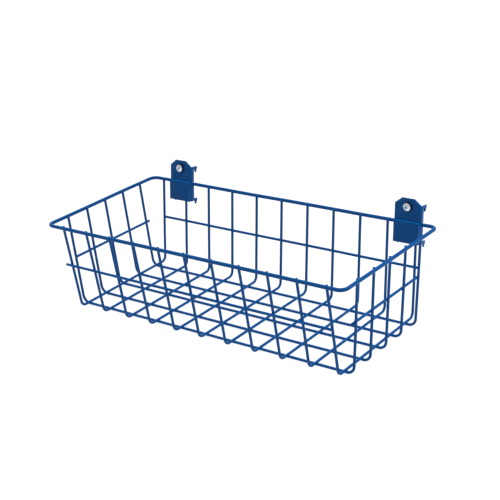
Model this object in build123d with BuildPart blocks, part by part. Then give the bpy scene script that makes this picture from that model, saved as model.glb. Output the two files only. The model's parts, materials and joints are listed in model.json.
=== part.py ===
from build123d import *
import os
from math import cos, radians, sin, tan

# Wire basket for a perforated panel: bent and welded wires on a thicker rim, and two folded sheet
# brackets whose claws hook into the panel's square holes, each with a locking screw and its washer.
# Millimetres. +Z is up, +X runs along the basket and +Y points to the panel. The basket stands with
# its floor wires on Z = 0, and the origin is under the middle of its overall box.

# Basket, measured between wire centres
rim_length = 382.0
rim_width = 178.0
basket_depth = 99.0
wall_lean = 7.2
end_lean = 4.8
rim_bend = 12.0
cross_bend = 9.0
long_bend = 10.0

# Wires
rim_wire = 3.6
mesh_wire = 2.6
weld_set = 0.25
tip_rise = 1.2
cross_count = 11
cross_pitch = 34.1
cross_offset = -0.5
long_count = 5
long_pitch = 30.0
mid_drop = 46.0
front_left_tip = 5.0
back_tip = 2.5
left_back_tip = 3.2
right_front_tip = 3.9
trimmed_tip = 1.5

# Brackets: heights are measured along the plate from the rim's centre
bracket_span = 304.0
bracket_offset = 5.6
sheet = 1.5
plate_width = 32.0
plate_top = 26.4
plate_bottom = 20.8
top_edge = 14.6
fold_radius = 2.0
plate_weld = 0.1
flange_back = 2.2
notch_clearance = 0.3

# Claws, for a panel with holes every claw_pitch
claw_pitch = 38.0
claw_arm = 2.8
claw_reach = 6.5
claw_drop = 7.0
claw_tip_in = 3.0
claw_tip_width = 0.9
claw_crown = 0.8
claw_root = 0.5
panel_gap = 1.9

# Pressed hump over the rim's weld and the wire behind it
hump_rise = 2.6
hump_width = 30.6
hump_top = 2.6
hump_wall = 0.7
hump_corner = 2.8
hump_taper = 12
hump_edge = 0.8
bead_length = 9.4
bead_width = 3.8
bead_rise = 0.4
bead_pitch = 11.2
bead_drop = 6.2
bead_taper = 30

# Locking screws and washers
thread_size = 5.0
thread_clearance = 0.05
screw_drop = 8.9
screw_reach = 6.3
screw_chamfer = 0.6
head_width = 9.5
head_height = 3.5
head_rim = 1.4
recess_span = 5.0
recess_slot = 1.1
recess_depth = 2.3
recess_taper = 12
collar_width = 7.8
collar_depth = 2.0
washer_width = 11.0
washer_bore = 5.3
washer_thickness = 1.0
washer_edge = 0.2
seat_gap = 0.05
overrun = 1.0

# Heights of the wire layers, from the floor up
lap = mesh_wire - weld_set
rim_seat = (rim_wire + mesh_wire) / 2 - weld_set
floor_z = mesh_wire / 2
cross_z = floor_z + lap
rim_z = cross_z + basket_depth
tip_z = rim_z + tip_rise
mid_z = rim_z - mid_drop

# The plate's faces and the claws' shoulder in the bracket's own frame
lean = radians(wall_lean)
tilt = radians(end_lean)
plate_back = rim_wire / 2 - plate_weld
plate_front = plate_back + sheet
shoulder = claw_pitch + claw_arm - plate_bottom
screw_y = plate_top - screw_drop

# The rim's centre lies ahead of the origin, because the claws reach further back
front_reach = (rim_width + rim_wire) / 2
back_reach = rim_width / 2 + (flange_back + claw_reach) * cos(lean) + shoulder * sin(lean)
rim_y = (front_reach - back_reach) / 2
rim_front = rim_y - rim_width / 2
rim_back = rim_y + rim_width / 2


def inset(height, angle):
    """How far a leaning wall wire lies inside the rim's centre line at a height."""
    return rim_seat / cos(angle) + (rim_z - height) * tan(angle)


def bent_wire(plane, points, bend):
    """A round wire along straight runs and bends drawn on a plane."""
    with BuildPart() as wire:
        with BuildLine(plane) as run:
            FilletPolyline(*points, radius=bend)
        with BuildSketch(Plane(origin=run.wire() @ 0, z_dir=run.wire() % 0)):
            Circle(mesh_wire / 2)
        sweep()
    return wire


def straight_wire(start, direction, length):
    """A straight round wire from its start point."""
    with BuildPart() as wire:
        with BuildSketch(Plane(origin=start, z_dir=direction)):
            Circle(mesh_wire / 2)
        extrude(amount=length)
    return wire


def keep(piece, name):
    """Label a finished piece and write it as its own file."""
    piece.part.label = name
    export_step(piece.part, f"parts/{name}.step")


os.makedirs("parts", exist_ok=True)

# Rim: one thick wire bent into a rectangle and butt welded into a closed loop
with BuildPart() as rim:
    with BuildLine(Plane.XY.offset(rim_z)) as loop:
        FilletPolyline(
            (rim_length / 2, rim_front),
            (rim_length / 2, rim_back),
            (-rim_length / 2, rim_back),
            (-rim_length / 2, rim_front),
            radius=rim_bend,
            close=True,
        )
    with BuildSketch(Plane(origin=loop.wire() @ 0, z_dir=loop.wire() % 0)):
        Circle(rim_wire / 2)
    sweep()
keep(rim, "rim_wire")

# Crosswise wires: front wall, floor and back wall in one bent wire each
cross_first = cross_offset - cross_pitch * (cross_count - 1) / 2
cross_last = cross_offset + cross_pitch * (cross_count - 1) / 2
for index in range(cross_count):
    cross_plane = Plane(origin=(cross_first + index * cross_pitch, 0, 0), x_dir=(0, 1, 0), z_dir=(1, 0, 0))
    cross_points = [
        (rim_front + inset(tip_z, lean), tip_z),
        (rim_front + inset(cross_z, lean), cross_z),
        (rim_back - inset(cross_z, lean), cross_z),
        (rim_back - inset(tip_z, lean), tip_z),
    ]
    keep(bent_wire(cross_plane, cross_points, cross_bend), f"cross_wire_{index + 1:02d}")

# Lengthwise wires: left end, floor and right end, below and outside the crosswise ones
long_first = rim_y - long_pitch * (long_count - 1) / 2
long_last = rim_y + long_pitch * (long_count - 1) / 2
for index in range(long_count):
    long_plane = Plane(origin=(0, long_first + index * long_pitch, 0), x_dir=(1, 0, 0), z_dir=(0, -1, 0))
    long_points = [
        (inset(tip_z, tilt) - rim_length / 2, tip_z),
        (inset(floor_z, tilt) - rim_length / 2, floor_z),
        (rim_length / 2 - inset(floor_z, tilt), floor_z),
        (rim_length / 2 - inset(tip_z, tilt), tip_z),
    ]
    keep(bent_wire(long_plane, long_points, long_bend), f"long_wire_{index + 1}")

# Middle wires: outside the crosswise wires on the front and back, inside the lengthwise ones at the ends
wall_mid = inset(mid_z, lean) - lap / cos(lean)
end_mid = inset(mid_z, tilt) + lap / cos(tilt)
cross_spread = cross_last - cross_first
long_spread = long_last - long_first
front_mid = straight_wire(
    (cross_first - front_left_tip, rim_front + wall_mid, mid_z),
    (1, 0, 0),
    front_left_tip + cross_spread + trimmed_tip,
)
keep(front_mid, "front_mid_wire")
back_mid = straight_wire(
    (cross_first - back_tip, rim_back - wall_mid, mid_z), (1, 0, 0), cross_spread + 2 * back_tip
)
keep(back_mid, "back_mid_wire")
left_mid = straight_wire(
    (end_mid - rim_length / 2, long_first - trimmed_tip, mid_z),
    (0, 1, 0),
    trimmed_tip + long_spread + left_back_tip,
)
keep(left_mid, "left_mid_wire")
right_mid = straight_wire(
    (rim_length / 2 - end_mid, long_first - right_front_tip, mid_z),
    (0, 1, 0),
    right_front_tip + long_spread + trimmed_tip,
)
keep(right_mid, "right_mid_wire")


def bracket(face, section):
    """A folded bracket: plate, flanges, claws, hump and threaded collar.

    face is the plate's frame at the rim's centre, facing the basket, and section is square to it
    at the plate's bottom edge, with its Y running back to the panel.
    """
    forward = Axis(face.origin, face.z_dir)
    with BuildPart() as part:
        # Plate and flanges as one folded channel
        with BuildSketch(section) as channel:
            with Locations((0, -plate_front)):
                Rectangle(plate_width, plate_front + flange_back, align=(Align.CENTER, Align.MIN))
            fillet(channel.vertices().group_by(Axis.Y)[0], fold_radius)
            with BuildSketch(mode=Mode.SUBTRACT) as inside:
                with Locations((0, -plate_back)):
                    Rectangle(
                        plate_width - 2 * sheet,
                        plate_back + flange_back,
                        align=(Align.CENTER, Align.MIN),
                    )
                fillet(inside.vertices().group_by(Axis.Y)[0], fold_radius - sheet)
        extrude(amount=plate_bottom + plate_top)

        # Cut-off top corners, and no flange above the upper claws
        with BuildSketch(face.offset(plate_front)) as corners:
            with BuildLine():
                Polyline(
                    (top_edge / 2, plate_top),
                    (plate_width / 2, plate_top),
                    (plate_width / 2, shoulder),
                    close=True,
                )
            make_face()
            mirror(about=Plane.YZ)
        extrude(amount=-(plate_front + flange_back), mode=Mode.SUBTRACT)
        with BuildSketch(face.offset(plate_back)):
            with Locations((0, shoulder)):
                Rectangle(plate_width, plate_top - shoulder, align=(Align.CENTER, Align.MIN))
        extrude(amount=-(plate_back + flange_back), mode=Mode.SUBTRACT)

        # Hump: pressed out of the plate, open at the bottom
        hump_height = hump_top + plate_bottom + hump_rise
        with BuildSketch(face.offset(plate_front)) as swell:
            with Locations((0, hump_top)):
                Rectangle(hump_width, hump_height, align=(Align.CENTER, Align.MAX))
            fillet(swell.vertices().group_by(Axis.Y)[-1], hump_corner)
        extrude(amount=hump_rise, taper=hump_taper)
        fillet(part.faces().sort_by(forward)[-1].edges(), hump_edge)
        with BuildSketch(face.offset(plate_back)) as hollow:
            with Locations((0, hump_top - hump_wall)):
                Rectangle(hump_width - 2 * hump_wall, hump_height, align=(Align.CENTER, Align.MAX))
            fillet(hollow.vertices().group_by(Axis.Y)[-1], hump_corner - hump_wall)
        extrude(amount=hump_rise, taper=hump_taper, mode=Mode.SUBTRACT)
        with BuildSketch(section):
            with Locations((0, flange_back)):
                Rectangle(
                    plate_width + 2 * overrun,
                    flange_back + plate_front + hump_rise + overrun,
                    align=(Align.CENTER, Align.MAX),
                )
        extrude(amount=-hump_height, mode=Mode.SUBTRACT)

        # Two shallow stiffening beads on the hump
        with BuildSketch(face.offset(plate_front + hump_rise)):
            with Locations((-bead_pitch / 2, -bead_drop), (bead_pitch / 2, -bead_drop)):
                SlotOverall(bead_length, bead_width, rotation=90)
        extrude(amount=bead_rise, taper=bead_taper)

        # Claws at both heights of both flanges, and the open notches that the rim lies in
        notch = rim_wire / 2 + notch_clearance
        for side in (-1, 1):
            outer_face = Plane(
                origin=face.from_local_coords((side * plate_width / 2, 0, 0)),
                x_dir=-face.z_dir,
                z_dir=face.x_dir,
            )
            with BuildSketch(outer_face) as claws:
                with Locations((flange_back, shoulder), (flange_back, shoulder - claw_pitch)):
                    Polygon(
                        (-flange_back, 0),
                        (claw_reach, 0),
                        (claw_tip_in + claw_tip_width, -claw_drop),
                        (claw_tip_in, -claw_drop),
                        (panel_gap, -claw_arm),
                        (-flange_back, -claw_arm),
                        align=None,
                    )
                fillet(claws.vertices().group_by(Axis.X)[-1], claw_crown)
                fillet(claws.vertices().group_by(Axis.X)[1], claw_root)
            extrude(amount=-side * sheet)
            with BuildSketch(outer_face):
                Circle(notch)
                Rectangle(flange_back + overrun, 2 * notch, align=(Align.MIN, Align.CENTER))
            extrude(amount=-side * sheet, mode=Mode.SUBTRACT)

        # Threaded collar drawn back from the plate
        with BuildSketch(face.offset(plate_back)):
            with Locations((0, screw_y)):
                Circle(collar_width / 2)
        extrude(amount=-collar_depth)
        with BuildSketch(face.offset(plate_front)):
            with Locations((0, screw_y)):
                Circle(thread_size / 2 + thread_clearance)
        extrude(amount=-(sheet + collar_depth), mode=Mode.SUBTRACT)
    return part


def washer(seat):
    """A flat washer in front of the plate."""
    with BuildPart() as part:
        with BuildSketch(seat.offset(seat_gap)):
            Circle(washer_width / 2)
            Circle(washer_bore / 2, mode=Mode.SUBTRACT)
        extrude(amount=washer_thickness)
        chamfer(part.edges().filter_by(GeomType.CIRCLE).sort_by(SortBy.RADIUS)[-2:], washer_edge)
    return part


def lock_screw(seat):
    """A pan head screw with a cross recess, its head in front of the washer."""
    head = seat.offset(2 * seat_gap + washer_thickness)
    profile = Plane(origin=head.origin, x_dir=head.x_dir, z_dir=-head.y_dir)
    with BuildPart() as part:
        with BuildSketch(profile):
            with BuildLine():
                Polyline(
                    (0, head_height),
                    (0, -screw_reach),
                    (thread_size / 2 - screw_chamfer, -screw_reach),
                    (thread_size / 2, screw_chamfer - screw_reach),
                    (thread_size / 2, 0),
                    (head_width / 2, 0),
                    (head_width / 2, head_rim),
                )
                EllipticalCenterArc((0, head_rim), head_width / 2, head_height - head_rim, arc_size=90)
            make_face()
        revolve(axis=Axis(head.origin, head.z_dir))
        with BuildSketch(head.offset(head_height)):
            Rectangle(recess_span, recess_slot)
            Rectangle(recess_slot, recess_span)
        extrude(amount=-recess_depth, taper=recess_taper, mode=Mode.SUBTRACT)
    return part


facing = (0, -cos(lean), sin(lean))
upward = (0, sin(lean), cos(lean))
for side, place in (("left", -bracket_span / 2), ("right", bracket_span / 2)):
    plate_face = Plane(origin=(bracket_offset + place, rim_back, rim_z), x_dir=(1, 0, 0), z_dir=facing)
    plate_foot = Plane(
        origin=plate_face.from_local_coords((0, -plate_bottom, 0)), x_dir=(1, 0, 0), z_dir=upward
    )
    screw_seat = Plane(
        origin=plate_face.from_local_coords((0, screw_y, plate_front)), x_dir=(1, 0, 0), z_dir=facing
    )
    keep(bracket(plate_face, plate_foot), f"{side}_bracket")
    keep(washer(screw_seat), f"{side}_washer")
    keep(lock_screw(screw_seat), f"{side}_lock_screw")
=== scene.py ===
"""Looks for a blue wire basket that hangs on a perforated panel.

Bent wires with welded crossings, two folded sheet brackets with locking screws, all powder coated,
on a pale studio floor. Everything is in metres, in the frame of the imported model.
"""

import json
from math import asin, cos, pi, radians, sin, sqrt, tan

import bmesh
import bpy
from mathutils import Matrix, Vector


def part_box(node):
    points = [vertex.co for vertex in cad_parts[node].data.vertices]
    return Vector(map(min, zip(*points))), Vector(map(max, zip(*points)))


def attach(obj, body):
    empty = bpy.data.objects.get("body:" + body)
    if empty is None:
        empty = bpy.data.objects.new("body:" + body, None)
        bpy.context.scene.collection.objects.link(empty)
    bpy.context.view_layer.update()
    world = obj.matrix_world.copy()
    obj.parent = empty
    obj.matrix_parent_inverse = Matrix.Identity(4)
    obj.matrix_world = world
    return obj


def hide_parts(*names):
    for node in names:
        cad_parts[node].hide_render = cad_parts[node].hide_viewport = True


bl_info = {
    "name": "Wire Basket Looks",
    "version": (1, 0, 0),
    "blender": (4, 5, 0),
    "location": "View3D > Sidebar > Basket",
    "description": "Coated wires, welds, brackets, locking screws and a studio for a wire basket",
    "category": "Object",
}

MM = 0.001
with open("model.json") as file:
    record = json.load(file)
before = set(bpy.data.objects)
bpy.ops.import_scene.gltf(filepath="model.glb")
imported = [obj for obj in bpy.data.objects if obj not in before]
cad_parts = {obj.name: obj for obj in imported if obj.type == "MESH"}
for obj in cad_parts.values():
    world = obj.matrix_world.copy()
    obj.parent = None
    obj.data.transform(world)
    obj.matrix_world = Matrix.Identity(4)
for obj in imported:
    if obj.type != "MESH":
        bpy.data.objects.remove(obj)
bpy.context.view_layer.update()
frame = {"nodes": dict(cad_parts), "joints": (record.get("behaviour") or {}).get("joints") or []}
BASKET = "basket"
SIDES = ("left", "right")
JOINTS = {joint["name"]: joint for joint in frame["joints"]}
CROSS_WIRES = sorted(name for name in frame["nodes"] if name.startswith("cross_wire"))
LONG_WIRES = sorted(name for name in frame["nodes"] if name.startswith("long_wire"))
UP = Vector((0, 0, 1))
ALONG = Vector((1, 0, 0))
BACK = Vector((0, 1, 0))

# Millimetres by which each crosswise wire strays along the basket, in the front and the back wall
WIRE_DRIFT = (
    (1.4, -1.4), (0.9, -1.4), (0.6, -1.3), (-0.2, -1.0), (-0.2, -0.6), (-0.4, -0.5),
    (0.2, 0.0), (0.8, -0.1), (0.7, -0.5), (0.9, -1.1), (0.6, -1.3),
)

# Sway: where the wires begin to stray up and down, where they do it fully, the noise's texture, and
# the factor that brings its usual quarter on either side of its middle up to one
SWAY_START = 5 * MM
SWAY_FULL = 40 * MM
SWAY_DETAIL = 1.0
SWAY_ROUGHNESS = 0.35
SWAY_GAIN = 4

# A wire's softened end, in shares of its rounding: the foot's depth in the wire, how much slimmer
# the foot is, and the crown's height
CAP_SUNK = 0.4
CAP_INSET = 0.05
CAP_CROWN = 1.04
CAP_STEPS = 5

# Rings of a weld bead from low to high, as shares of its spread and of its height
BEAD_RINGS = ((1.0, 0.0), (0.55, 0.22), (0.2, 0.5), (0.55, 0.78), (1.0, 1.0))

# Distances within which points merge, a bracket's shortest edge, and its folds that count as flat
MERGE = 1e-7
BRACKET_MERGE = 2e-6
BRACKET_SLIVER = 1e-6
BRACKET_FLAT = radians(0.4)

# Steps in a washer's rounded corner and in a screw's domed head, and a screw's rounded edges
WASHER_CORNER_STEPS = 4
CROWN_STEPS = 14
SCREW_EDGE_STEPS = 2
SCREW_SHARP = radians(38)

# The recess: how far its cutter reaches above the head, as a share of the depth, and its span and
# its arms' width at the mouth and at the bottom, as shares of the set sizes
RECESS_ABOVE = 0.25
RECESS_MOUTH = (1.03, 1.02)
RECESS_BOTTOM = (0.66, 0.86)

# The thread: how deep its ridge is sunk in the core, the ridge's foot and crest as shares of the
# pitch, points in a turn, where along its length it has faded in and fades out, and its least size
THREAD_SUNK = 0.05 * MM
THREAD_FOOT = 0.82
THREAD_CREST = 0.16
THREAD_STEPS = 48
THREAD_FADED_IN = 0.08
THREAD_FADE_OUT = 0.94
THREAD_LEAST = 0.05

# Finishes: detail of their two noises, the coat's changes in roughness, and factors on the colours
# of the zinc's darker parts and of the washers' paler parts
PEEL_DETAIL = 2.0
MOTTLE_DETAIL = 3.0
COAT_GLOSS_SPREAD = 0.1
ZINC_SHADE = 0.86
WASHER_LIFT = 2.2

# Studio: places of the lights from the rim's middle, size of the long one, the camera's sensor in
# millimetres and how near and far it sees, and the floor's finish
WHITE = (1, 1, 1, 1)
SUN_PLACE = Vector((-0.25, 0.3, 1.0))
STRIP_PLACE = Vector((0.7, 0.25, 0.05))
STRIP_SIZE = (0.3, 0.6)
SENSOR_WIDTH = 36
VIEW_RANGE = (0.05, 40)
PAPER_ROUGHNESS = 0.9
PAPER_SPECULAR = 0.1


# Settings


def length(label, note, millimetres):
    """A length that is given in millimetres and kept in metres."""
    return bpy.props.FloatProperty(
        name=label, description=note, default=millimetres * MM, unit="LENGTH", precision=5
    )


def colour(label, note, value):
    """A linear colour."""
    return bpy.props.FloatVectorProperty(
        name=label, description=note, default=value, size=3, subtype="COLOR", min=0, max=1
    )


def angle(label, note, degrees):
    """An angle that is given in degrees and kept in radians."""
    return bpy.props.FloatProperty(
        name=label, description=note, default=radians(degrees), subtype="ANGLE"
    )


def amount(label, note, value):
    """A plain number."""
    return bpy.props.FloatProperty(name=label, description=note, default=value)


def whole(label, note, value):
    """A whole number of at least one."""
    return bpy.props.IntProperty(name=label, description=note, default=value, min=1)


class WireSettings(bpy.types.PropertyGroup):
    """How the wires are bent, cut and welded."""

    wall_lean: angle("Wall lean", "Lean of the front and back walls", 7.2)
    end_lean: angle("End lean", "Lean of the two ends", 4.8)
    rim_bend: length("Rim bend", "Bend radius of the rim's corners", 8.0)
    cross_bend: length("Cross bend", "Bend radius of the crosswise wires", 6.5)
    long_bend: length("Long bend", "Bend radius of the lengthwise wires", 8.5)
    bend_steps: whole("Bend steps", "Steps in each bend before it is resampled", 16)
    step: length("Step", "Distance between the rings along a wire", 1.3)
    sides: whole("Sides", "Faces around a wire", 22)
    sway: length("Sway", "How far the wires stray from straight", 0.2)
    sway_size: length("Sway size", "Distance over which they stray", 120.0)
    end_softness: length("End softness", "Rounding of the cut and coated ends", 0.42)
    coat: length("Coat", "What the thick coat and its runs add to a wire's radius", 0.18)
    bead_reach: length("Bead reach", "How far a weld bead spreads from the crossing", 1.42)
    bead_waist: length("Bead waist", "Radius of a weld bead halfway up", 1.12)
    bead_steps: whole("Bead steps", "Faces around a weld bead", 20)
    bead_spread: amount("Bead spread", "Share by which the beads differ in size", 0.12)


class BracketSettings(bpy.types.PropertyGroup):
    """How the folded brackets are finished."""

    top_edge: length("Top edge", "Width of the plate's straight top edge", 14.6)
    corner_drop: length("Corner drop", "Height of the plate's cut-off corners", 6.4)
    shoulder_in: length("Shoulder in", "Where the corners end, from the plate's middle", 14.0)
    edge: length("Edge", "Rounding that the coat gives to cut edges", 0.28)
    edge_steps: whole("Edge steps", "Steps across a rounded edge", 3)
    sharp: angle("Sharp", "Edges sharper than this are rounded", 32)


class ScrewSettings(bpy.types.PropertyGroup):
    """Sizes of the locking screws and their washers."""

    thread: length("Thread", "Diameter over the thread's crests", 4.95)
    pitch: length("Pitch", "Distance from crest to crest", 0.8)
    depth: length("Depth", "Height of a crest", 0.46)
    head: length("Head", "Diameter of the head", 8.6)
    head_rim: length("Head rim", "Height of the head's straight side", 1.5)
    head_height: length("Head height", "Height of the head", 3.4)
    reach: length("Reach", "Length under the head", 6.3)
    point: length("Point", "Length of the chamfered tip", 0.6)
    recess: length("Recess", "Span of the cross recess", 4.7)
    recess_slot: length("Recess slot", "Width of the recess's arms", 1.3)
    recess_depth: length("Recess depth", "Depth of the recess", 3.4)
    washer: length("Washer", "Diameter of the washer", 11.0)
    washer_bore: length("Washer bore", "Diameter of the washer's hole", 5.3)
    washer_thickness: length("Washer thickness", "Thickness of the washer", 1.0)
    gap: length("Gap", "Gap under the washer and under the head", 0.05)
    softness: length("Softness", "Rounding of small edges", 0.16)
    steps: whole("Steps", "Steps around a turned piece", 64)


class CoatSettings(bpy.types.PropertyGroup):
    """Colours and texture of the finishes."""

    blue: colour("Blue", "Main colour of the powder coat", (0.0005, 0.054, 0.195))
    thin_blue: colour("Thin blue", "Colour where the coat is thinner", (0.001, 0.070, 0.245))
    zinc: colour("Zinc", "Colour of the zinc plating", (0.80, 0.90, 0.97))
    # The washers' own dark colour, made navy so that it also stands in as painted shadow of the
    # screw heads on the plates
    washer_dark_and_shadow: colour("Black", "Blue-black of the washers", (0.001, 0.008, 0.032))
    peel: length("Peel", "Size of the orange peel in the coat", 0.9)
    peel_depth: length("Peel depth", "Depth of the orange peel", 0.02)
    mottle: length("Mottle", "Size of the slow changes in colour", 22.0)
    gloss: amount("Gloss", "Roughness of the coat", 0.36)


class StudioSettings(bpy.types.PropertyGroup):
    """Camera, lights and floor."""

    camera_right: length("Camera right", "Camera along X from the rim's middle", 742.2)
    camera_front: length("Camera front", "Camera along Y from the rim's middle", -923.0)
    camera_up: length("Camera up", "Camera above the rim", 449.1)
    aim_right: length("Aim right", "Aim along X from the rim's middle", 16.9)
    aim_up: length("Aim up", "Aim above the rim", -23.85)
    roll: angle("Roll", "Roll of the camera", -4.36)
    lens: amount("Lens", "Focal length for a 36 mm wide picture", 86.4)
    floor_size: length("Floor size", "Width of the floor", 16000.0)
    floor: colour("Floor", "Colour of the floor", (0.66, 0.66, 0.66))
    sky: amount("Sky", "Strength of the even light", 0.52)
    gleam: amount("Gleam", "Strength of the even light in reflections", 0.58)
    sun: amount("Sun", "Strength of the light from above and behind", 3.9)
    sun_spread: angle("Sun spread", "Angle across that light", 40)
    strip: amount("Strip", "Power of the long light beside the basket's right end", 1.8)


def settings(kind):
    """The values of one property group."""
    return getattr(bpy.context.scene, kind)


# Small tools


def new_object(name, mesh):
    """An object in the scene for a mesh."""
    made = bpy.data.objects.new(name, mesh)
    bpy.context.scene.collection.objects.link(made)
    return made


def mesh_from(name, points, edges=(), faces=()):
    """An object from plain lists of points, edges and faces."""
    mesh = bpy.data.meshes.new(name)
    mesh.from_pydata([tuple(point) for point in points], list(edges), list(faces))
    mesh.update()
    return new_object(name, mesh)


def drop(item):
    """Remove an object and its mesh."""
    mesh = item.data
    bpy.data.objects.remove(item)
    if mesh and not mesh.users:
        bpy.data.meshes.remove(mesh)


def baked(item, name):
    """A new object whose plain mesh is what an object's modifiers make of it."""
    graph = bpy.context.evaluated_depsgraph_get()
    mesh = bpy.data.meshes.new_from_object(item.evaluated_get(graph))
    drop(item)
    mesh.name = name
    return new_object(name, mesh)


def face_outwards(item):
    """Merge doubled points and turn every face of a closed mesh outwards."""
    work = bmesh.new()
    work.from_mesh(item.data)
    bmesh.ops.remove_doubles(work, verts=work.verts, dist=MERGE)
    bmesh.ops.recalc_face_normals(work, faces=work.faces)
    work.to_mesh(item.data)
    work.free()


def smooth(item):
    """Shade a mesh smoothly."""
    item.data.polygons.foreach_set("use_smooth", [True] * len(item.data.polygons))


def dress(item, material, slot, body, *nodes):
    """Give a finished piece its material and body, and hide the nodes that it stands for. The slot
    is not used.
    """
    item.data.materials.clear()
    item.data.materials.append(material)
    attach(item, body)
    if nodes:
        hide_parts(*nodes)


def turned(name, profile, steps):
    """A turned piece round Z from a profile of (radius, height), where radius 0 is a pole."""
    points = []
    rows = []
    faces = []
    for radius, height in profile:
        count = steps if radius else 1
        rows.append(range(len(points), len(points) + count))
        for index in range(count):
            turn = 2 * pi * index / steps
            points.append((radius * cos(turn), radius * sin(turn), height))
    for low, high in zip(rows, rows[1:]):
        for index in range(steps):
            beside = (index + 1) % steps
            around = (
                low[index % len(low)], low[beside % len(low)],
                high[beside % len(high)], high[index % len(high)],
            )
            faces.append(tuple(dict.fromkeys(around)))
    return mesh_from(name, points, faces=faces)


# Node trees


def node_group(name, kind, inputs, outputs):
    """An empty node group with the named inputs and outputs."""
    group = bpy.data.node_groups.new(name, kind)
    for way, sockets in (("INPUT", inputs), ("OUTPUT", outputs)):
        for label, socket in sockets:
            group.interface.new_socket(label, in_out=way, socket_type=f"NodeSocket{socket}")
    return group


def new_tree(name, *inputs):
    """A geometry node tree with a geometry input and output and the named inputs."""
    geometry = ("Geometry", "Geometry")
    return node_group(name, "GeometryNodeTree", (geometry, *inputs), (geometry,))


def put(tree, kind, **values):
    """A node of a tree, with its properties set."""
    node = tree.nodes.new(kind)
    node.location = (200 * len(tree.nodes), 0)
    for key, value in values.items():
        setattr(node, key, value)
    return node


def supply(tree, socket, source):
    """Link a node's input to another socket, or set its value."""
    if isinstance(source, bpy.types.NodeSocket):
        tree.links.new(source, socket)
    else:
        socket.default_value = source


def feed(tree, node, **sources):
    """Link or set a node's inputs by name, with _ for a space."""
    for label, source in sources.items():
        supply(tree, node.inputs[label.replace("_", " ")], source)
    return node


def reckon(tree, operation, *sources, kind="ShaderNodeMath"):
    """The result of a math node whose inputs are linked or set in order."""
    node = put(tree, kind, operation=operation)
    for socket, source in zip(node.inputs, sources):
        supply(tree, socket, source)
    return node.outputs[0]


def scaled(tree, vector, factor):
    """A vector times a number."""
    node = put(tree, "ShaderNodeVectorMath", operation="SCALE")
    supply(tree, node.inputs[0], vector)
    return feed(tree, node, Scale=factor).outputs[0]


def grow(item, tree, name, **values):
    """Run a tree on an object and keep its result as a plain mesh."""
    modifier = item.modifiers.new(tree.name, "NODES")
    modifier.node_group = tree
    for socket in tree.interface.items_tree:
        key = socket.name.lower().replace(" ", "_")
        if socket.in_out == "INPUT" and key in values:
            modifier[socket.identifier] = values[key]
    return baked(item, name)


def sway_group():
    """A shared field that shifts wires and beads together, so that crossings stay joined."""
    name = "Hand bent sway"
    if name in bpy.data.node_groups:
        return bpy.data.node_groups[name]
    tree = node_group(
        name, "GeometryNodeTree", (("Amount", "Float"), ("Size", "Float")), (("Offset", "Vector"),)
    )
    given = put(tree, "NodeGroupInput")
    place = put(tree, "GeometryNodeInputPosition").outputs[0]
    scale = reckon(tree, "DIVIDE", 1, given.outputs["Size"])
    noise = put(tree, "ShaderNodeTexNoise", noise_dimensions="3D")
    feed(tree, noise, Vector=place, Scale=scale, Detail=SWAY_DETAIL, Roughness=SWAY_ROUGHNESS)
    centred = reckon(
        tree, "SUBTRACT", noise.outputs["Color"], (0.5, 0.5, 0.5), kind="ShaderNodeVectorMath"
    )
    parts = feed(tree, put(tree, "ShaderNodeSeparateXYZ"), Vector=place)
    lifted = put(tree, "ShaderNodeMapRange")
    feed(
        tree, lifted, Value=parts.outputs["Z"], From_Min=SWAY_START, From_Max=SWAY_FULL, To_Min=0.0,
        To_Max=1.0,
    )
    level = feed(tree, put(tree, "ShaderNodeCombineXYZ"), X=1.0, Y=1.0, Z=lifted.outputs[0])
    steady = reckon(tree, "MULTIPLY", centred, level.outputs[0], kind="ShaderNodeVectorMath")
    gain = reckon(tree, "MULTIPLY", given.outputs["Amount"], SWAY_GAIN)
    feed(tree, put(tree, "NodeGroupOutput"), Offset=scaled(tree, steady, gain))
    return tree


def add_sway(tree, given, geometry):
    """The geometry shifted by the shared field."""
    field = put(tree, "GeometryNodeGroup", node_tree=sway_group())
    feed(tree, field, Amount=given.outputs["Sway"], Size=given.outputs["Sway Size"])
    moved = put(tree, "GeometryNodeSetPosition")
    feed(tree, moved, Geometry=geometry, Offset=field.outputs[0])
    return moved.outputs[0]


def finish_tree(tree, given, geometry):
    """End a tree in real, smooth geometry with its material."""
    real = feed(tree, put(tree, "GeometryNodeRealizeInstances"), Geometry=geometry)
    shaded = feed(tree, put(tree, "GeometryNodeSetShadeSmooth"), Geometry=real.outputs[0])
    coated = put(tree, "GeometryNodeSetMaterial")
    feed(tree, coated, Geometry=shaded.outputs[0], Material=given.outputs["Material"])
    feed(tree, put(tree, "NodeGroupOutput"), Geometry=coated.outputs[0])


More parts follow.
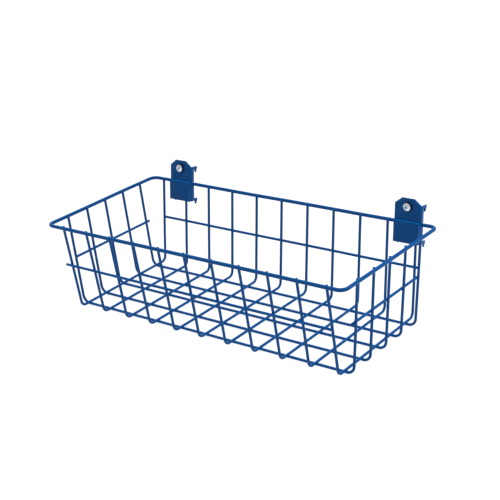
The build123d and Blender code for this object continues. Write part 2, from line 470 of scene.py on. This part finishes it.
def wire_tree():
    """Round wire along a run of straight lines, with bends and softened ends."""
    name = "Bent wire"
    if name in bpy.data.node_groups:
        return bpy.data.node_groups[name]
    tree = new_tree(
        name, ("Radius", "Float"), ("Bend", "Float"), ("Bend Steps", "Int"), ("Step", "Float"),
        ("Sides", "Int"), ("Sway", "Float"), ("Sway Size", "Float"), ("End Cap", "Object"),
        ("Material", "Material"),
    )
    given = put(tree, "NodeGroupInput")
    run = feed(tree, put(tree, "GeometryNodeMeshToCurve"), Mesh=given.outputs["Geometry"])
    bends = put(tree, "GeometryNodeFilletCurve", mode="POLY")
    feed(
        tree, bends, Curve=run.outputs[0], Radius=given.outputs["Bend"],
        Count=given.outputs["Bend Steps"],
    )
    even = put(tree, "GeometryNodeResampleCurve", mode="LENGTH")
    feed(tree, even, Curve=bends.outputs[0], Length=given.outputs["Step"])
    swayed = add_sway(tree, given, even.outputs[0])
    profile = put(tree, "GeometryNodeCurvePrimitiveCircle", mode="RADIUS")
    feed(tree, profile, Resolution=given.outputs["Sides"], Radius=given.outputs["Radius"])
    tube = put(tree, "GeometryNodeCurveToMesh")
    feed(tree, tube, Curve=swayed, Profile_Curve=profile.outputs[0], Fill_Caps=True)

    caps = put(tree, "GeometryNodeObjectInfo")
    feed(tree, caps, Object=given.outputs["End Cap"])
    tangent = put(tree, "GeometryNodeInputTangent")
    start = feed(tree, put(tree, "GeometryNodeCurveEndpointSelection"), Start_Size=1, End_Size=0)
    ends = feed(tree, put(tree, "GeometryNodeCurveEndpointSelection"), Start_Size=1, End_Size=1)
    # The tangent points out of the wire at its end and into it at its start
    sign = reckon(tree, "MULTIPLY_ADD", start.outputs[0], -2, 1)
    turn = put(tree, "FunctionNodeAlignRotationToVector", axis="Z")
    feed(tree, turn, Vector=scaled(tree, tangent.outputs[0], sign))
    capped = put(tree, "GeometryNodeInstanceOnPoints")
    feed(
        tree, capped, Points=swayed, Selection=ends.outputs[0], Instance=caps.outputs["Geometry"],
        Rotation=turn.outputs[0],
    )
    both = put(tree, "GeometryNodeJoinGeometry")
    tree.links.new(capped.outputs[0], both.inputs[0])
    tree.links.new(tube.outputs[0], both.inputs[0])
    finish_tree(tree, given, both.outputs[0])
    return tree


def bead_tree():
    """Weld beads on the points of a mesh, turned by the points' over and run directions."""
    name = "Weld beads"
    if name in bpy.data.node_groups:
        return bpy.data.node_groups[name]
    tree = new_tree(
        name, ("Bead", "Object"), ("Spread", "Float"), ("Seed", "Int"), ("Sway", "Float"),
        ("Sway Size", "Float"), ("Material", "Material"),
    )
    given = put(tree, "NodeGroupInput")
    swayed = add_sway(tree, given, given.outputs["Geometry"])
    over = put(tree, "GeometryNodeInputNamedAttribute", data_type="FLOAT_VECTOR")
    feed(tree, over, Name="over")
    run = put(tree, "GeometryNodeInputNamedAttribute", data_type="FLOAT_VECTOR")
    feed(tree, run, Name="run")
    turn = put(tree, "FunctionNodeAxesToRotation", primary_axis="Z", secondary_axis="X")
    feed(tree, turn, Primary_Axis=over.outputs[0], Secondary_Axis=run.outputs[0])
    # Sockets 2, 3 and 1 are the least, the most and the result of a random plain number
    sizes = put(tree, "FunctionNodeRandomValue", data_type="FLOAT")
    supply(tree, sizes.inputs[2], reckon(tree, "SUBTRACT", 1, given.outputs["Spread"]))
    supply(tree, sizes.inputs[3], reckon(tree, "ADD", 1, given.outputs["Spread"]))
    feed(tree, sizes, Seed=given.outputs["Seed"])
    flat = put(tree, "ShaderNodeCombineXYZ")
    feed(tree, flat, X=sizes.outputs[1], Y=sizes.outputs[1], Z=1.0)
    shape = feed(tree, put(tree, "GeometryNodeObjectInfo"), Object=given.outputs["Bead"])
    placed = put(tree, "GeometryNodeInstanceOnPoints")
    feed(
        tree, placed, Points=swayed, Instance=shape.outputs["Geometry"], Rotation=turn.outputs[0],
        Scale=flat.outputs[0],
    )
    finish_tree(tree, given, placed.outputs[0])
    return tree


def thread_tree():
    """A helical ridge for a screw, which fades in and out at its ends."""
    name = "Screw thread"
    if name in bpy.data.node_groups:
        return bpy.data.node_groups[name]
    tree = new_tree(
        name, ("Core Radius", "Float"), ("Turns", "Float"), ("Height", "Float"), ("Steps", "Int"),
        ("Ridge", "Object"), ("Material", "Material"),
    )
    given = put(tree, "NodeGroupInput")
    helix = put(tree, "GeometryNodeCurveSpiral")
    feed(
        tree, helix, Resolution=given.outputs["Steps"], Rotations=given.outputs["Turns"],
        Start_Radius=given.outputs["Core Radius"], End_Radius=given.outputs["Core Radius"],
        Height=given.outputs["Height"],
    )
    upright = put(tree, "GeometryNodeSetCurveNormal", mode="Z_UP")
    feed(tree, upright, Curve=helix.outputs[0])
    share = put(tree, "GeometryNodeSplineParameter")
    rise = put(tree, "ShaderNodeMapRange")
    feed(
        tree, rise, Value=share.outputs["Factor"], From_Min=0.0, From_Max=THREAD_FADED_IN,
        To_Min=THREAD_LEAST, To_Max=1.0,
    )
    fall = put(tree, "ShaderNodeMapRange")
    feed(
        tree, fall, Value=share.outputs["Factor"], From_Min=THREAD_FADE_OUT, From_Max=1.0,
        To_Min=1.0, To_Max=THREAD_LEAST,
    )
    fade = reckon(tree, "MINIMUM", rise.outputs[0], fall.outputs[0])
    outline = feed(tree, put(tree, "GeometryNodeObjectInfo"), Object=given.outputs["Ridge"])
    loop = feed(tree, put(tree, "GeometryNodeMeshToCurve"), Mesh=outline.outputs["Geometry"])
    ridge = put(tree, "GeometryNodeCurveToMesh")
    feed(
        tree, ridge, Curve=upright.outputs[0], Profile_Curve=loop.outputs[0], Scale=fade,
        Fill_Caps=True,
    )
    finish_tree(tree, given, ridge.outputs[0])
    return tree


# Finishes


def surface_group():
    """Slow mottle, roughness and fine height on Object coordinates, for every finish."""
    name = "Coat texture"
    if name in bpy.data.node_groups:
        return bpy.data.node_groups[name]
    group = node_group(
        name, "ShaderNodeTree",
        (("Peel", "Float"), ("Mottle", "Float"), ("Gloss", "Float"), ("Gloss Spread", "Float")),
        (("Mottle", "Float"), ("Roughness", "Float"), ("Height", "Float")),
    )
    given = put(group, "NodeGroupInput")
    place = put(group, "ShaderNodeTexCoord")
    noises = []
    for label, detail in (("Peel", PEEL_DETAIL), ("Mottle", MOTTLE_DETAIL)):
        scale = reckon(group, "DIVIDE", 1, given.outputs[label])
        noise = put(group, "ShaderNodeTexNoise", noise_dimensions="3D")
        feed(group, noise, Vector=place.outputs["Object"], Scale=scale, Detail=detail)
        noises.append(noise.outputs["Fac"])
    peel, mottle = noises
    gloss = reckon(
        group, "MULTIPLY_ADD", mottle, given.outputs["Gloss Spread"], given.outputs["Gloss"]
    )
    feed(group, put(group, "NodeGroupOutput"), Mottle=mottle, Roughness=gloss, Height=peel)
    return group


def finish(name, low, high, peel, peel_depth, mottle, gloss, gloss_spread, **plain):
    """A material that mixes two colours over the shared texture."""
    if name in bpy.data.materials:
        return bpy.data.materials[name]
    material = bpy.data.materials.new(name)
    material.use_nodes = True
    tree = material.node_tree
    shader = tree.nodes["Principled BSDF"]
    feed(tree, shader, **plain)
    texture = put(tree, "ShaderNodeGroup", node_tree=surface_group())
    feed(tree, texture, Peel=peel, Mottle=mottle, Gloss=gloss, Gloss_Spread=gloss_spread)
    # Sockets 6, 7 and 2 are the two colours and the result of a mix of colours
    blend = put(tree, "ShaderNodeMix", data_type="RGBA")
    feed(tree, blend, Factor=texture.outputs["Mottle"])
    supply(tree, blend.inputs[6], (*low, 1))
    supply(tree, blend.inputs[7], (*high, 1))
    bump = put(tree, "ShaderNodeBump")
    feed(tree, bump, Strength=1.0, Distance=peel_depth, Height=texture.outputs["Height"])
    feed(
        tree, shader, Base_Color=blend.outputs[2], Roughness=texture.outputs["Roughness"],
        Normal=bump.outputs[0],
    )
    return material


def powder_coat():
    """Deep blue powder coat with a fine orange peel."""
    coat = settings("basket_coat")
    return finish(
        "blue_powder_coat", coat.blue, coat.thin_blue, coat.peel, coat.peel_depth, coat.mottle,
        gloss=coat.gloss - COAT_GLOSS_SPREAD / 2, gloss_spread=COAT_GLOSS_SPREAD,
        Specular_IOR_Level=0.1,
    )


def zinc_plating():
    """Bright zinc plating."""
    zinc = settings("basket_coat").zinc
    darker = tuple(part * ZINC_SHADE for part in zinc)
    return finish(
        "bright_zinc", darker, zinc, peel=0.35 * MM, peel_depth=0.004 * MM, mottle=2.5 * MM,
        gloss=0.16, gloss_spread=0.16, Metallic=1.0,
    )


def washer_nylon_and_shadow():
    """Blue-black of the washers, nearly matt: their own dark colour, deepened to a navy that also
    paints the screw heads' shadow on the plates.
    """
    washer_dark_and_shadow = settings("basket_coat").washer_dark_and_shadow
    paler = tuple(part * WASHER_LIFT for part in washer_dark_and_shadow)
    return finish(
        "black_washer_finish", washer_dark_and_shadow, paler, peel=0.25 * MM, peel_depth=0.012 * MM,
        mottle=3.0 * MM, gloss=0.42, gloss_spread=0.18, Specular_IOR_Level=0.15,
    )


# Wires


def wire_radius():
    """Radius of the coated thin wires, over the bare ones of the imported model."""
    low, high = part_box(CROSS_WIRES[0])
    return (high.x - low.x) / 2 + settings("basket_wires").coat


def rim_radius():
    """Radius of the rim's coated wire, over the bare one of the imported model."""
    low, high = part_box("rim_wire")
    return (high.z - low.z) / 2 + settings("basket_wires").coat


def end_cap(radius):
    """The softened end of a cut wire, standing on Z = 0, with a foot that is sunk in the wire."""
    wires = settings("basket_wires")
    soft = wires.end_softness
    foot = -CAP_SUNK * soft
    profile = [(0, foot), (radius - CAP_INSET * soft, foot), (radius, 0)]
    for index in range(1, CAP_STEPS + 1):
        turn = pi / 2 * index / CAP_STEPS
        profile.append((radius - soft + soft * cos(turn), soft * sin(turn)))
    profile.append((0, CAP_CROWN * soft))
    return turned("wire_end", profile, wires.sides)


def bent_wire(name, points, radius, bend, closed=False):
    """Round wire along straight runs with a bend at each corner."""
    wires = settings("basket_wires")
    points = [Vector(point) for point in points]
    edges = [(index, index + 1) for index in range(len(points) - 1)]
    ends = {}
    if closed:
        edges.append((len(points) - 1, 0))
    else:
        points[0] += (points[1] - points[0]).normalized() * wires.end_softness
        points[-1] += (points[-2] - points[-1]).normalized() * wires.end_softness
        ends["end_cap"] = end_cap(radius)
    wire = grow(
        mesh_from(name, points, edges), wire_tree(), f"{name}_coated", radius=radius, bend=bend,
        bend_steps=wires.bend_steps, step=wires.step, sides=wires.sides, sway=wires.sway,
        sway_size=wires.sway_size, material=powder_coat(), **ends,
    )
    for cap in ends.values():
        drop(cap)
    dress(wire, powder_coat(), "blue_wire", BASKET, name)


def column(index, share):
    """Where a crosswise wire stands along the basket, at a share of the way from front to back."""
    low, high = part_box(CROSS_WIRES[index])
    front, back = WIRE_DRIFT[index]
    return (low.x + high.x) / 2 + (front + (back - front) * share) * MM


def basket_wall(low, high, lean, radius):
    """Run of a wall wire seen from the end: (across, height) of its two tips and two corners."""
    tip = high[1] - radius * sin(lean)
    floor = low[1] + radius
    foot = (tip - floor) * tan(lean)
    near = low[0] + radius * cos(lean)
    far = high[0] - radius * cos(lean)
    return ((near, tip), (near + foot, floor), (far - foot, floor), (far, tip))


class BASKET_OT_rim(bpy.types.Operator):
    """Bend the thick rim wire"""

    bl_idname = "basket.rim"
    bl_label = "Rim"

    def execute(self, context):
        low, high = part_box("rim_wire")
        radius = rim_radius()
        height = (low.z + high.z) / 2
        left, right = low.x + radius, high.x - radius
        front, back = low.y + radius, high.y - radius
        middle = (left + right) / 2
        corners = [
            (middle, back, height), (left, back, height), (left, front, height),
            (right, front, height), (right, back, height),
        ]
        bent_wire("rim_wire", corners, radius, settings("basket_wires").rim_bend, closed=True)
        return {"FINISHED"}


class BASKET_OT_cross_wires(bpy.types.Operator):
    """Bend the crosswise wires of the front wall, floor and back wall"""

    bl_idname = "basket.cross_wires"
    bl_label = "Crosswise wires"

    def execute(self, context):
        wires = settings("basket_wires")
        radius = wire_radius()
        for index, name in enumerate(CROSS_WIRES):
            low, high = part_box(name)
            run = basket_wall((low.y, low.z), (high.y, high.z), wires.wall_lean, radius)
            points = [(column(index, share), y, z) for (y, z), share in zip(run, (0, 0, 1, 1))]
            bent_wire(name, points, radius, wires.cross_bend)
        return {"FINISHED"}


class BASKET_OT_long_wires(bpy.types.Operator):
    """Bend the lengthwise wires of the ends and the floor"""

    bl_idname = "basket.long_wires"
    bl_label = "Lengthwise wires"

    def execute(self, context):
        wires = settings("basket_wires")
        radius = wire_radius()
        for name in LONG_WIRES:
            low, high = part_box(name)
            run = basket_wall((low.x, low.z), (high.x, high.z), wires.end_lean, radius)
            across = (low.y + high.y) / 2
            bent_wire(name, [(x, across, z) for x, z in run], radius, wires.long_bend)
        return {"FINISHED"}


class BASKET_OT_mid_wires(bpy.types.Operator):
    """Lay the straight wires halfway up the four walls"""

    bl_idname = "basket.mid_wires"
    bl_label = "Middle wires"

    def execute(self, context):
        radius = wire_radius()
        for name in ("front_mid_wire", "back_mid_wire", "left_mid_wire", "right_mid_wire"):
            low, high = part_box(name)
            middle = (low + high) / 2
            half = (high - low) / 2
            along = ALONG * half.x if half.x > half.y else BACK * half.y
            bent_wire(name, [middle - along, middle, middle + along], radius, radius)
        return {"FINISHED"}


def weld_bead(name, low_radius, high_radius, rise):
    """A bead between a low wire along X and a high one along Y, with centres rise apart in Z.

    Its origin is the low wire's centre. It hugs both wires and is narrower at its waist.
    """
    wires = settings("basket_wires")
    steps = wires.bead_steps
    points = []
    faces = []
    for spread, share in BEAD_RINGS:
        reach = wires.bead_waist + (wires.bead_reach - wires.bead_waist) * spread
        for index in range(steps):
            turn = 2 * pi * index / steps
            x, y = reach * cos(turn), reach * sin(turn)
            bottom = sqrt(max(low_radius ** 2 - y ** 2, 0))
            top = rise - sqrt(max(high_radius ** 2 - x ** 2, 0))
            points.append((x, y, bottom + (top - bottom) * share))
    last = (len(BEAD_RINGS) - 1) * steps
    for low in range(0, last, steps):
        for index in range(steps):
            beside = (index + 1) % steps
            faces.append((low + index, low + beside, low + steps + beside, low + steps + index))
    faces.append(tuple(reversed(range(steps))))
    faces.append(tuple(range(last, last + steps)))
    return mesh_from(name, points, faces=faces)


def lay_beads(name, crossings, low_radius, high_radius, rise, seed):
    """Weld beads at crossings.

    Each crossing is the low wire's centre, its direction and the way to the high wire.
    """
    wires = settings("basket_wires")
    spots = mesh_from(name, [place for place, run, over in crossings])
    for label, entry in (("run", 1), ("over", 2)):
        values = spots.data.attributes.new(label, "FLOAT_VECTOR", "POINT")
        values.data.foreach_set("vector", [part for spot in crossings for part in spot[entry]])
    shape = weld_bead(f"{name}_shape", low_radius, high_radius, rise)
    beads = grow(
        spots, bead_tree(), name, bead=shape, spread=wires.bead_spread, seed=seed, sway=wires.sway,
        sway_size=wires.sway_size, material=powder_coat(),
    )
    drop(shape)
    dress(beads, powder_coat(), "blue_wire", BASKET)


class BASKET_OT_weld_beads(bpy.types.Operator):
    """Weld the wires together where they cross"""

    bl_idname = "basket.weld_beads"
    bl_label = "Weld beads"

    def execute(self, context):
        wires = settings("basket_wires")
        radius, thick = wire_radius(), rim_radius()
        columns = range(len(CROSS_WIRES))
        rows = [sum(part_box(name), Vector()).y / 2 for name in LONG_WIRES]
        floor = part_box(LONG_WIRES[0])[0].z + radius
        low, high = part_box(CROSS_WIRES[0])
        lap = low.z + radius - floor
        run = basket_wall((low.y, low.z), (high.y, high.z), wires.wall_lean, radius)
        front, back = run[1][0], run[2][0]
        spots = [
            ((column(index, (y - front) / (back - front)), y, floor), ALONG, UP)
            for index in columns for y in rows
        ]
        lay_beads("floor_welds", spots, radius, radius, lap, seed=3)
        for name, share, inward in (("front_mid_wire", 0, BACK), ("back_mid_wire", 1, -BACK)):
            middle = sum(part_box(name), Vector()) / 2
            over = inward * cos(wires.wall_lean) + UP * sin(wires.wall_lean)
            spots = [
                ((column(index, share), middle.y, middle.z), ALONG, over) for index in columns
            ]
            lay_beads(f"{name}_welds", spots, radius, radius, lap, seed=5)
        for name, outward in (("left_mid_wire", -ALONG), ("right_mid_wire", ALONG)):
            middle = sum(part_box(name), Vector()) / 2
            over = outward * cos(wires.end_lean) - UP * sin(wires.end_lean)
            spots = [((middle.x, y, middle.z), BACK, over) for y in rows]
            lay_beads(f"{name}_welds", spots, radius, radius, lap, seed=5)
        low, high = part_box("rim_wire")
        height = (low.z + high.z) / 2
        seat = radius + thick - (2 * radius - lap)
        spots = []
        for index in columns:
            spots.append(((column(index, 0), low.y + thick, height), ALONG, BACK))
            spots.append(((column(index, 1), high.y - thick, height), ALONG, -BACK))
        for y in rows:
            spots.append(((low.x + thick, y, height), BACK, ALONG))
            spots.append(((high.x - thick, y, height), BACK, -ALONG))
        lay_beads("rim_welds", spots, thick, radius, seat, seed=7)
        return {"FINISHED"}


# Brackets, washers and screws


def steepen_corners(work, side):
    """Steepen a plate's cut-off corners, so that each ends on a narrow flat shoulder."""
    values = settings("basket_brackets")
    joint = JOINTS[f"{side}_screw_turn"]
    upward = Vector(joint["axis"]).normalized().cross(ALONG)
    top = max(vert.co.dot(upward) for vert in work.verts)
    run = values.shoulder_in - values.top_edge / 2
    for vert in work.verts:
        height = vert.co.dot(upward) - top
        beyond = abs(vert.co.x - joint["pos_m"][0]) - values.top_edge / 2
        if beyond > values.edge and -values.corner_drop < height < 0:
            lower = -values.corner_drop * min(beyond / run, 1)
            vert.co += upward * (lower - height)


class BASKET_OT_brackets(bpy.types.Operator):
    """Coat the folded brackets, with softened edges"""

    bl_idname = "basket.brackets"
    bl_label = "Brackets"

    def execute(self, context):
        values = settings("basket_brackets")
        for side in SIDES:
            node = f"{side}_bracket"
            plain = new_object(node + "_plain", frame["nodes"][node].data.copy())
            work = bmesh.new()
            work.from_mesh(plain.data)
            bmesh.ops.remove_doubles(work, verts=work.verts, dist=BRACKET_MERGE)
            steepen_corners(work, side)
            bmesh.ops.remove_doubles(work, verts=work.verts, dist=BRACKET_MERGE)
            bmesh.ops.dissolve_degenerate(work, dist=BRACKET_SLIVER, edges=work.edges)
            bmesh.ops.dissolve_limit(
                work, angle_limit=BRACKET_FLAT, verts=work.verts, edges=work.edges
            )
            work.to_mesh(plain.data)
            work.free()
            smooth(plain)
            bevel = plain.modifiers.new("Edges", "BEVEL")
            bevel.width = values.edge
            bevel.segments = values.edge_steps
            bevel.limit_method = "ANGLE"
            bevel.angle_limit = values.sharp
            bevel.harden_normals = True
            made = baked(plain, f"{node}_coated")
            dress(made, powder_coat(), "blue_sheet", BASKET, node)
        return {"FINISHED"}


def screw_place(side):
    """Matrix from a screw's own frame, with Z out of the plate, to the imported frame."""
    joint = JOINTS[f"{side}_screw_turn"]
    axis = Vector(joint["axis"]).normalized()
    turn = axis.to_track_quat("Z", "Y").to_matrix().to_4x4()
    return Matrix.Translation(joint["pos_m"]) @ turn


def washer_profile(values):
    """Closed outline of a washer's section as (radius, height), with rounded corners."""
    inner, outer = values.washer_bore / 2, values.washer / 2
    low, high = values.gap, values.gap + values.washer_thickness
    soft = values.softness
    corners = (
        (inner, high, 1, -1), (outer, high, -1, -1), (outer, low, -1, 1), (inner, low, 1, 1),
    )
    profile = []
    for corner, (radius, height, right, up) in enumerate(corners):
        for index in range(WASHER_CORNER_STEPS + 1):
            turn = pi - pi / 2 * corner - pi / 2 * index / WASHER_CORNER_STEPS
            across = radius + right * soft + soft * cos(turn)
            profile.append((across, height + up * soft + soft * sin(turn)))
    profile.append(profile[0])
    return profile


class BASKET_OT_washers(bpy.types.Operator):
    """Turn the washers, whose dark navy also paints the screw heads' shadow"""

    bl_idname = "basket.washers"
    bl_label = "Washers"

    def execute(self, context):
        values = settings("basket_screws")
        for side in SIDES:
            washer = turned(f"{side}_washer_moulded", washer_profile(values), values.steps)
            face_outwards(washer)
            smooth(washer)
            washer.data.transform(screw_place(side))
            dress(washer, washer_nylon_and_shadow(), "black_washer", f"{side}_washer", f"{side}_washer")
        return {"FINISHED"}


def screw_blank(name, values):
    """Head and core of a screw, seated on the washer."""
    seat = 2 * values.gap + values.washer_thickness
    core = values.thread / 2 - values.depth
    half = values.head / 2
    soft = values.softness
    crown = values.head_height - values.head_rim
    profile = [
        (0, seat - values.reach),
        (core - values.point / 2, seat - values.reach),
        (core, seat - values.reach + values.point),
        (core, seat),
        (half - soft, seat),
        (half - soft / 3, seat + soft / 3),
        (half, seat + soft),
        (half, seat + values.head_rim),
    ]
    round_radius = (half ** 2 + crown ** 2) / (2 * crown)
    widest = asin(half / round_radius)
    for index in range(1, CROWN_STEPS + 1):
        turn = widest * (1 - index / CROWN_STEPS)
        drop_off = round_radius * (1 - cos(turn))
        profile.append((round_radius * sin(turn), seat + values.head_height - drop_off))
    blank = turned(name, profile, values.steps)
    face_outwards(blank)
    return blank


def recess_cutter(values):
    """The tapered cross that cuts the screw's recess."""
    top = 2 * values.gap + values.washer_thickness + values.head_height
    depth = values.recess_depth
    points = []
    faces = []
    for height, (span, slot) in (
        (top + depth * RECESS_ABOVE, RECESS_MOUTH), (top - depth, RECESS_BOTTOM),
    ):
        wide, thin = values.recess * span / 2, values.recess_slot * slot / 2
        for quarter in range(4):
            turn = Matrix.Rotation(pi / 2 * quarter, 3, "Z")
            for x, y in ((wide, -thin), (wide, thin), (thin, thin)):
                points.append(turn @ Vector((x, y, height)))
    count = len(points) // 2
    for index in range(count):
        beside = (index + 1) % count
        faces.append((index, beside, count + beside, count + index))
    faces.append(tuple(reversed(range(count))))
    faces.append(tuple(range(count, 2 * count)))
    cutter = mesh_from("recess_cutter", points, faces=faces)
    face_outwards(cutter)
    return cutter


def cut_screw(side, values):
    """A screw's head and core, with the recess cut and the edges softened."""
    blank = screw_blank(f"{side}_screw_blank", values)
    cutter = recess_cutter(values)
    cut = blank.modifiers.new("Recess", "BOOLEAN")
    cut.operation = "DIFFERENCE"
    cut.object = cutter
    cut.solver = "EXACT"
    soften = blank.modifiers.new("Edges", "BEVEL")
    soften.width = values.softness / 2
    soften.segments = SCREW_EDGE_STEPS
    soften.limit_method = "ANGLE"
    soften.angle_limit = SCREW_SHARP
    screw = baked(blank, f"{side}_lock_screw_threaded")
    drop(cutter)
    return screw


def screw_thread(values):
    """The helical ridge round a screw's core."""
    core = values.thread / 2 - values.depth
    height = values.reach - values.point / 2
    foot, crest = values.pitch / 2 * THREAD_FOOT, values.pitch / 2 * THREAD_CREST
    outline = [
        (-THREAD_SUNK, -foot, 0), (values.depth, -crest, 0), (values.depth, crest, 0),
        (-THREAD_SUNK, foot, 0),
    ]
    ridge = mesh_from("ridge", outline, [(0, 1), (1, 2), (2, 3), (3, 0)])
    spot = mesh_from("thread", [(0, 0, 0)])
    thread = grow(
        spot, thread_tree(), "thread", core_radius=core, turns=height / values.pitch,
        height=height, steps=THREAD_STEPS, ridge=ridge, material=zinc_plating(),
    )
    drop(ridge)
    start = 2 * values.gap + values.washer_thickness - values.reach + values.point / 2
    thread.data.transform(Matrix.Translation((0, 0, start)))
    face_outwards(thread)
    return thread


class BASKET_OT_lock_screws(bpy.types.Operator):
    """Cut and thread the locking screws"""

    bl_idname = "basket.lock_screws"
    bl_label = "Locking screws"

    def execute(self, context):
        values = settings("basket_screws")
        for side in SIDES:
            screw = cut_screw(side, values)
            thread = screw_thread(values)
            work = bmesh.new()
            work.from_mesh(screw.data)
            work.from_mesh(thread.data)
            work.to_mesh(screw.data)
            work.free()
            drop(thread)
            smooth(screw)
            screw.data.transform(screw_place(side))
            dress(screw, zinc_plating(), "zinc_screw", f"{side}_lock_screw", f"{side}_lock_screw")
        return {"FINISHED"}


# Studio


def studio_light(name, kind, power, place, target):
    """A soft light that faces the basket, without shadows or mirror images."""
    lamp = bpy.data.lights.new(name, kind)
    lamp.energy = power
    lamp.use_shadow = False
    light = bpy.data.objects.new(name, lamp)
    bpy.context.scene.collection.objects.link(light)
    light.location = place
    light.rotation_mode = "QUATERNION"
    light.rotation_quaternion = (target - place).to_track_quat("-Z", "Y")
    light.visible_glossy = False
    light.visible_camera = False
    return lamp


def studio_floor(values):
    """A wide floor of pale, matt paper."""
    half = values.floor_size / 2
    corners = [(-half, -half, 0), (half, -half, 0), (half, half, 0), (-half, half, 0)]
    floor = mesh_from("studio_floor", corners, faces=[(0, 1, 2, 3)])
    paper = bpy.data.materials.new("studio_paper")
    paper.use_nodes = True
    feed(
        paper.node_tree, paper.node_tree.nodes["Principled BSDF"], Base_Color=(*values.floor, 1),
        Roughness=PAPER_ROUGHNESS, Specular_IOR_Level=PAPER_SPECULAR,
    )
    floor.data.materials.append(paper)


def studio_world(values):
    """Even white light, with its own strength in reflections, before a white background."""
    world = bpy.data.worlds.new("studio")
    world.use_nodes = True
    tree = world.node_tree
    path = put(tree, "ShaderNodeLightPath")
    strength = put(tree, "ShaderNodeMapRange")
    feed(
        tree, strength, Value=path.outputs["Is Glossy Ray"], To_Min=values.sky, To_Max=values.gleam
    )
    light = feed(tree, tree.nodes["Background"], Color=WHITE, Strength=strength.outputs[0])
    seen = feed(tree, put(tree, "ShaderNodeBackground"), Color=WHITE)
    either = put(tree, "ShaderNodeMixShader")
    supply(tree, either.inputs[0], path.outputs["Is Camera Ray"])
    supply(tree, either.inputs[1], light.outputs[0])
    supply(tree, either.inputs[2], seen.outputs[0])
    feed(tree, tree.nodes["World Output"], Surface=either.outputs[0])
    bpy.context.scene.world = world


def studio_camera(values, middle):
    """The camera at the photograph's viewing angle."""
    place = middle + Vector((values.camera_right, values.camera_front, values.camera_up))
    target = middle + Vector((values.aim_right, 0, values.aim_up))
    lens = bpy.data.cameras.new("camera")
    lens.lens = values.lens
    lens.sensor_width = SENSOR_WIDTH
    lens.clip_start, lens.clip_end = VIEW_RANGE
    camera = bpy.data.objects.new("camera", lens)
    bpy.context.scene.collection.objects.link(camera)
    aim = (target - place).to_track_quat("-Z", "Y").to_matrix().to_4x4()
    roll = Matrix.Rotation(values.roll, 4, "Z")
    camera.matrix_world = Matrix.Translation(place) @ aim @ roll
    bpy.context.scene.camera = camera


class BASKET_OT_studio(bpy.types.Operator):
    """Set the floor, the lights and the camera"""

    bl_idname = "basket.studio"
    bl_label = "Studio"

    def execute(self, context):
        values = settings("basket_studio")
        studio_floor(values)
        studio_world(values)
        context.scene.view_settings.view_transform = "Standard"
        low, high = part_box("rim_wire")
        middle = (low + high) / 2
        sun = studio_light("sun", "SUN", values.sun, middle + SUN_PLACE, middle)
        sun.angle = values.sun_spread
        strip = studio_light("strip", "AREA", values.strip, middle + STRIP_PLACE, middle)
        strip.shape = "RECTANGLE"
        strip.size, strip.size_y = STRIP_SIZE
        studio_camera(values, middle)
        return {"FINISHED"}


class BASKET_PT_panel(bpy.types.Panel):
    """Lists the basket's settings and steps"""

    bl_label = "Wire basket"
    bl_idname = "BASKET_PT_panel"
    bl_space_type = "VIEW_3D"
    bl_region_type = "UI"
    bl_category = "Basket"

    def draw(self, context):
        for operator in OPERATORS:
            self.layout.operator(operator.bl_idname)
        for kind in GROUPS:
            box = self.layout.box()
            for name in GROUPS[kind].__annotations__:
                box.prop(settings(kind), name)


GROUPS = {
    "basket_wires": WireSettings,
    "basket_brackets": BracketSettings,
    "basket_screws": ScrewSettings,
    "basket_coat": CoatSettings,
    "basket_studio": StudioSettings,
}
OPERATORS = (
    BASKET_OT_rim,
    BASKET_OT_cross_wires,
    BASKET_OT_long_wires,
    BASKET_OT_mid_wires,
    BASKET_OT_weld_beads,
    BASKET_OT_brackets,
    BASKET_OT_washers,
    BASKET_OT_lock_screws,
    BASKET_OT_studio,
)


def register():
    """Register the settings, the operators and the panel."""
    for kind, group in GROUPS.items():
        bpy.utils.register_class(group)
        setattr(bpy.types.Scene, kind, bpy.props.PointerProperty(type=group))
    for item in (*OPERATORS, BASKET_PT_panel):
        bpy.utils.register_class(item)


def unregister():
    """Remove what register added."""
    for item in reversed((*OPERATORS, BASKET_PT_panel)):
        bpy.utils.unregister_class(item)
    for kind, group in reversed(GROUPS.items()):
        delattr(bpy.types.Scene, kind)
        bpy.utils.unregister_class(group)


def main():
    """Make every piece and the studio."""
    register()
    bpy.ops.basket.rim()
    bpy.ops.basket.cross_wires()
    bpy.ops.basket.long_wires()
    bpy.ops.basket.mid_wires()
    bpy.ops.basket.weld_beads()
    bpy.ops.basket.brackets()
    bpy.ops.basket.washers()
    bpy.ops.basket.lock_screws()
    bpy.ops.basket.studio()


if __name__ == "__main__":
    main()
